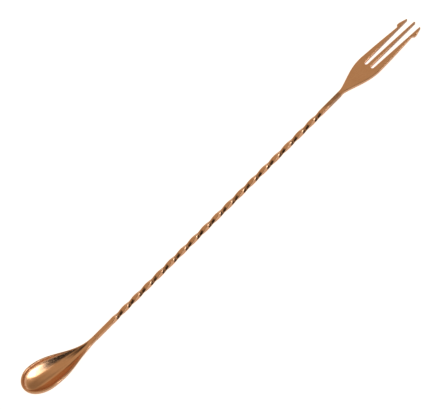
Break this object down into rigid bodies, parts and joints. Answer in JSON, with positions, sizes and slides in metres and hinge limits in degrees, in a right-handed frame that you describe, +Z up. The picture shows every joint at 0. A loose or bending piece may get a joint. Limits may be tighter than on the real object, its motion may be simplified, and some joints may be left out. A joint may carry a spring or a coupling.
{
  "type": "bar spoon",
  "caption": "Long bar spoon with a teardrop bowl, a twisted square shank and a flat barbed fork at the other end, in polished copper plate.",
  "frame": {"origin": "on the table, under the middle of the spoon's box, as it lies on the first turn of its twist and the tips of its tines", "axes": "+X along the shank from the bowl towards the fork; +Z up, out of the open side of the bowl; the bowl and the fork are symmetric about the XZ plane"},
  "size_m": [0.4, 0.0224, 0.0189],
  "materials": {
    "bowl_copper": "bright polished copper plating on stainless steel",
    "shank_copper": "bright copper plating on a twisted stainless steel bar",
    "fork_copper": "satin-bright copper plating on stainless steel plate",
    "weld_copper": "ground weld under copper plating"
  },
  "bodies": {
    "root": {"spoon_bowl": "bowl_copper", "bowl_weld": "weld_copper", "twisted_shank": "shank_copper", "fork_weld": "weld_copper", "trident_fork": "fork_copper"}
  },
  "joints": []
}
